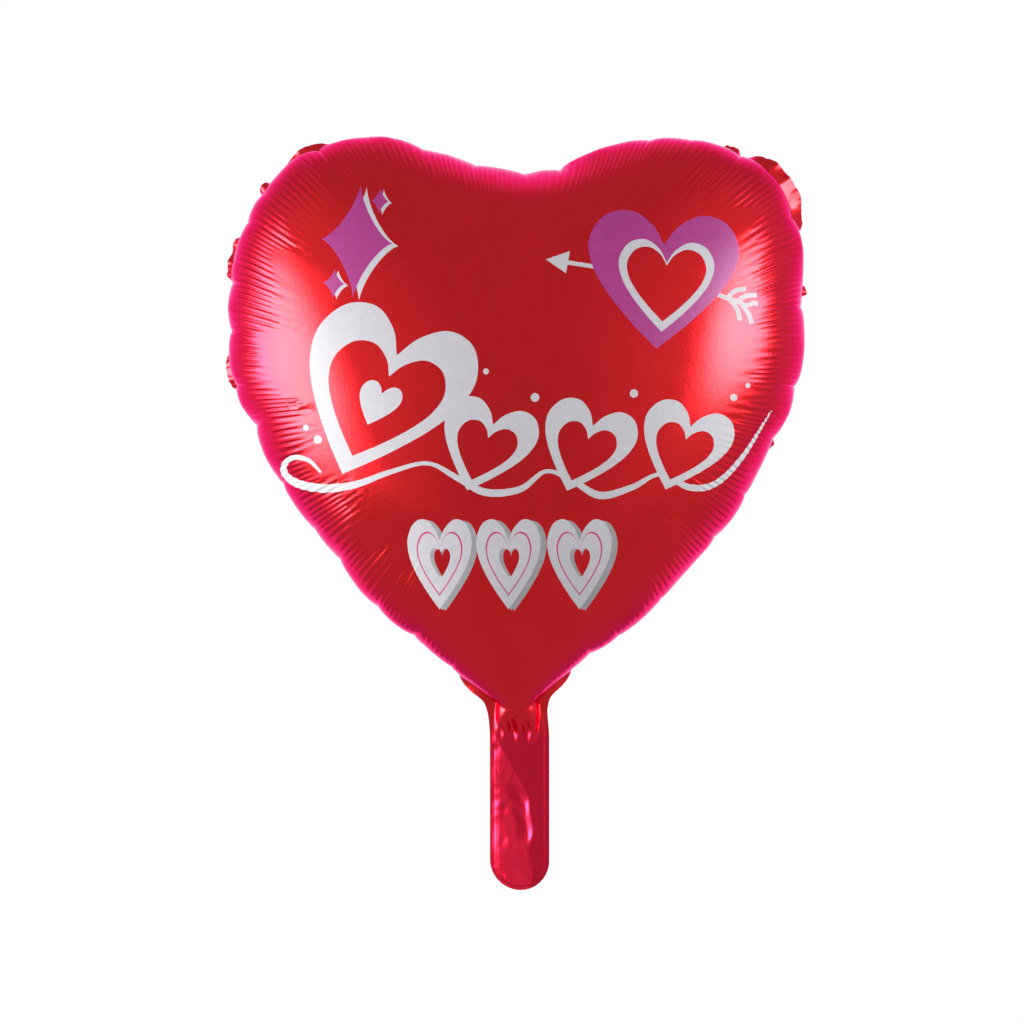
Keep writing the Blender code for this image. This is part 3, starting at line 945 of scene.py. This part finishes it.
def valve_strip(name, side, node):
    """The clear valve film in the tail, bent with it; a thin closed strip."""
    lo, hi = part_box(node)
    xs = np.linspace(lo.x, hi.x, 25)
    zs = np.linspace(lo.z, hi.z, 141)
    gx, gz = np.meshgrid(xs, zs)
    co, quads = [], []
    n = gx.size
    for layer, off in ((0, 0.00022), (1, 0.00008)):
        x = gx.ravel() + 0.0014 * smooth01(-gz.ravel() / 0.020)
        y = tail_middle(x, gz.ravel()) + side * off
        co.append(np.stack([x, y, gz.ravel()], 1))
        g = (layer * n + np.arange(n)).reshape(gx.shape)
        q = np.stack([g[:-1, :-1], g[:-1, 1:], g[1:, 1:], g[1:, :-1]], -1).reshape(-1, 4)
        quads.append(q if (layer == 0) == (side < 0) else q[:, ::-1])
    g = np.arange(n).reshape(gx.shape)
    rim = np.concatenate([g[0, :-1], g[:-1, -1], g[-1, :0:-1], g[:0:-1, 0]])
    nxt = np.roll(rim, -1)
    q = np.stack([rim, rim + n, nxt + n, nxt], 1)
    quads.append(q if side < 0 else q[:, ::-1])
    mesh = bpy.data.meshes.new(name)
    mesh.from_pydata(np.vstack(co).tolist(), [], np.vstack(quads).tolist())
    mesh.update()
    o = bpy.data.objects.new(name, mesh)
    scene_collection = bpy.context.scene.collection
    scene_collection.objects.link(o)
    mesh.materials.append(M_VALVE)
    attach(o, "tail")
    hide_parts(node)
    return o


valve_strip("valve_strip_front", -1, "valve_lower_front")
valve_strip("valve_strip_back", 1, "valve_lower_back")

# ---------------------------------------------------------------- the two sheets
FRONT = Side(-1, 5, BULGE, 1.0)
BACK = Side(1, 25, 0.0006, 0.85)
front = sheet_mesh("front_film", FRONT, PRINT)
for m in (M_FRONT, M_WHITE, M_PURPLE, M_SHADE, M_PINK):
    front.data.materials.append(m)
back = sheet_mesh("back_film", BACK, [])
back.data.materials.append(M_BACK)
for piece, nodes, name in ((front, ("heart_front", "tail_front"), "front_foil"), (back, ("heart_back", "tail_back"), "back_foil")):
    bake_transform(piece)
    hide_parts(*nodes)

# ---------------------------------------------------------------- stage, light, camera
bpy.ops.mesh.primitive_circle_add(vertices=128, radius=6.5, fill_type="NGON", location=(0, 0, -4.0))
floor = bpy.context.active_object
floor.name = "floor"
m_floor, nt, b = node_material("floor_paint")
nt.links.new(tint(nt, noise(nt, 3, 2), (0.74, 0.74, 0.74), (0.77, 0.77, 0.77)), b.inputs["Base Color"])
b.inputs["Roughness"].default_value = 0.8
floor.data.materials.append(m_floor)

scene = bpy.context.scene
world = bpy.data.worlds.new("studio")
scene.world = world
world.use_nodes = True
nt = world.node_tree
bg = nt.nodes["Background"]
bg.inputs["Color"].default_value = (1, 1, 1, 1)
tc = nt.nodes.new("ShaderNodeTexCoord")


def glow(direction, inner, outer, strength):
    """Light from a soft patch of the studio round a direction; inner and outer are cosines."""
    dot = nt.nodes.new("ShaderNodeVectorMath")
    dot.operation = "DOT_PRODUCT"
    dot.inputs[1].default_value = Vector(direction).normalized()
    nt.links.new(tc.outputs["Generated"], dot.inputs[0])
    r = nt.nodes.new("ShaderNodeMapRange")
    r.interpolation_type = "SMOOTHSTEP"
    r.inputs["From Min"].default_value = outer
    r.inputs["From Max"].default_value = inner
    r.inputs["To Max"].default_value = strength
    nt.links.new(dot.outputs["Value"], r.inputs["Value"])
    return r.outputs["Result"]


total = None
for patch in (glow((0, 1, 0), 0.83, 0.22, 0.60), glow((-0.93, -0.3, 0.05), 0.88, 0.45, 0.24), glow((0.9, -0.35, 0.2), 0.90, 0.5, 0.18)):
    add = nt.nodes.new("ShaderNodeMath")
    add.operation = "ADD"
    nt.links.new(patch, add.inputs[0])
    if total is None:
        add.inputs[1].default_value = 0.43
    else:
        nt.links.new(total, add.inputs[1])
    total = add.outputs["Value"]
nt.links.new(total, bg.inputs["Strength"])
scene.view_settings.view_transform = "Standard"
scene.view_settings.look = "None"


def softbox(name, azimuth, distance, z, size, radiance, aim):
    light = bpy.data.lights.new(name, "AREA")
    light.shape = "RECTANGLE"
    light.size, light.size_y = size
    light.spread = math.radians(110)
    light.energy = radiance * math.pi * size[0] * size[1] * 0.55
    # brightest in the middle of the cloth, dimmer to its edges
    light.use_nodes = True
    nt = light.node_tree
    em = nt.nodes["Emission"]
    geo = nt.nodes.new("ShaderNodeNewGeometry")
    sub = nt.nodes.new("ShaderNodeVectorMath")
    sub.operation = "SUBTRACT"
    sub.inputs[1].default_value = (0.5, 0.5, 0.0)
    length = nt.nodes.new("ShaderNodeVectorMath")
    length.operation = "LENGTH"
    r = nt.nodes.new("ShaderNodeMapRange")
    r.interpolation_type = "SMOOTHSTEP"
    r.inputs["From Min"].default_value = 0.56
    r.inputs["From Max"].default_value = 0.24
    r.inputs["To Min"].default_value = 0.05
    r.inputs["To Max"].default_value = 1.0
    nt.links.new(geo.outputs["Parametric"], sub.inputs[0])
    nt.links.new(sub.outputs["Vector"], length.inputs[0])
    nt.links.new(length.outputs["Value"], r.inputs["Value"])
    nt.links.new(r.outputs["Result"], em.inputs["Strength"])
    o = bpy.data.objects.new(name, light)
    scene.collection.objects.link(o)
    a = math.radians(azimuth)
    o.location = (distance * math.sin(a), -distance * math.cos(a), z)
    o.rotation_euler = (Vector(aim) - Vector(o.location)).to_track_quat("-Z", "Y").to_euler()
    o.visible_camera = False
    return o


softbox("softbox_left", -76, 1.2, 0.15, (1.35, 1.30), 8.6, (0, 0, 0.2))
softbox("softbox_right", 68, 1.2, 0.35, (0.86, 1.0), 8.0, (0, 0, 0.2))

cam = bpy.data.cameras.new("camera")
cam.sensor_width = 36
cam.lens = 36 * 2.2 / 0.676
camera = bpy.data.objects.new("camera", cam)
scene.collection.objects.link(camera)
camera.location = (-0.0036, -2.2, 0.127)
camera.rotation_euler = (math.pi / 2, 0, 0)
scene.camera = camera
